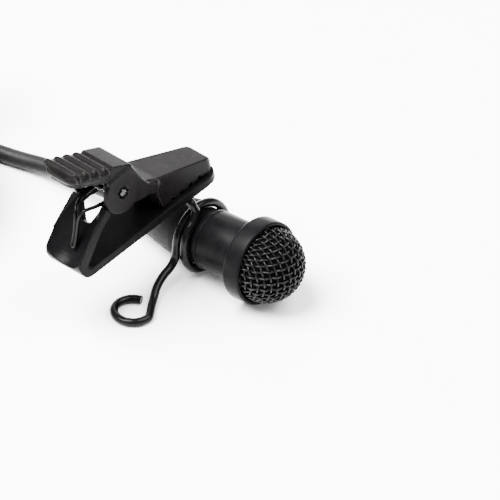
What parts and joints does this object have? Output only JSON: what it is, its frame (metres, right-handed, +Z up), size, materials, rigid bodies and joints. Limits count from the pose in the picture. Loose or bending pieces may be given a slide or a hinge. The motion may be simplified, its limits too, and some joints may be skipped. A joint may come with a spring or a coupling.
{
  "type": "lavalier microphone",
  "caption": "Small lavalier microphone with a domed wire-mesh windscreen, held by a coiled wire on a swivelling spring clip, with a thin cable wound in a tied coil and ending in a jack plug.",
  "frame": {"origin": "on the table, under the middle of the box round the microphone, its holder and its clip, without the cable", "axes": "+X along the level direction of the microphone's axis, towards the windscreen; +Y towards the clip's jaw tip; +Z up from the table"},
  "size_m": [0.0635, 0.0473, 0.0208],
  "materials": {
    "black_metal": "satin black coating",
    "black_mesh": "black woven wire, semi-gloss",
    "black_plastic": "moulded, half-gloss",
    "black_wire": "black coated spring wire, half-gloss",
    "rubber": "matt",
    "cable_jacket": "matt extruded jacket",
    "foam": "open-cell foam",
    "steel": "bright drawn",
    "aluminium": "drawn",
    "brass": "plated",
    "insulator": "matt",
    "circuit_board": "solder mask"
  },
  "bodies": {
    "microphone": {"windscreen_mesh": "black_mesh", "windscreen_foam": "foam", "grille_ring": "black_metal", "housing": "black_metal", "rear_cap": "black_metal", "capsule_can": "aluminium", "capsule_sleeve": "rubber", "diaphragm": "steel", "backplate_holder": "insulator", "backplate": "brass", "capsule_board": "circuit_board", "fet_chip": "black_plastic", "signal_lead": "brass", "ground_lead": "brass", "cable_crimp": "brass", "inner_cable": "cable_jacket", "strain_relief": "rubber", "cable_lead": "cable_jacket", "cable_tail": "cable_jacket", "cable_coil": "cable_jacket", "cable_tie": "cable_jacket", "plug_strain_relief": "rubber", "plug_shell": "black_metal", "plug_sleeve": "brass", "plug_rear_insulator": "insulator", "plug_front_insulator": "insulator", "plug_ring": "brass", "plug_tip": "brass"},
    "wire_holder": {"wire_holder": "black_wire", "swivel_cap": "steel"},
    "clip_base": {"clip_base": "black_metal", "pivot_pin": "steel", "torsion_spring": "black_wire"},
    "clip_lever": {"clip_lever": "black_plastic"}
  },
  "joints": [
    {"name": "holder_turn", "type": "hinge", "parent": "microphone", "child": "wire_holder", "pos_m": [0.00889, 0.0067, 0.00489], "axis": [0.996, 0, 0.0899], "continuous": true},
    {"name": "clip_swivel", "type": "hinge", "parent": "wire_holder", "child": "clip_base", "pos_m": [-0.00279, 0.0052, 0.00976], "axis": [-0.1015, -0.1507, 0.9834], "range_deg": [-90, 90]},
    {"name": "clip_open", "type": "hinge", "parent": "clip_base", "child": "clip_lever", "pos_m": [-0.0041, -0.00429, 0.01544], "axis": [0.9925, -0.0837, 0.0896], "range_deg": [0, 28], "stiffness_Nm_per_rad": 0.02, "springref_deg": -45.84, "deforming": ["torsion_spring"]}
  ]
}
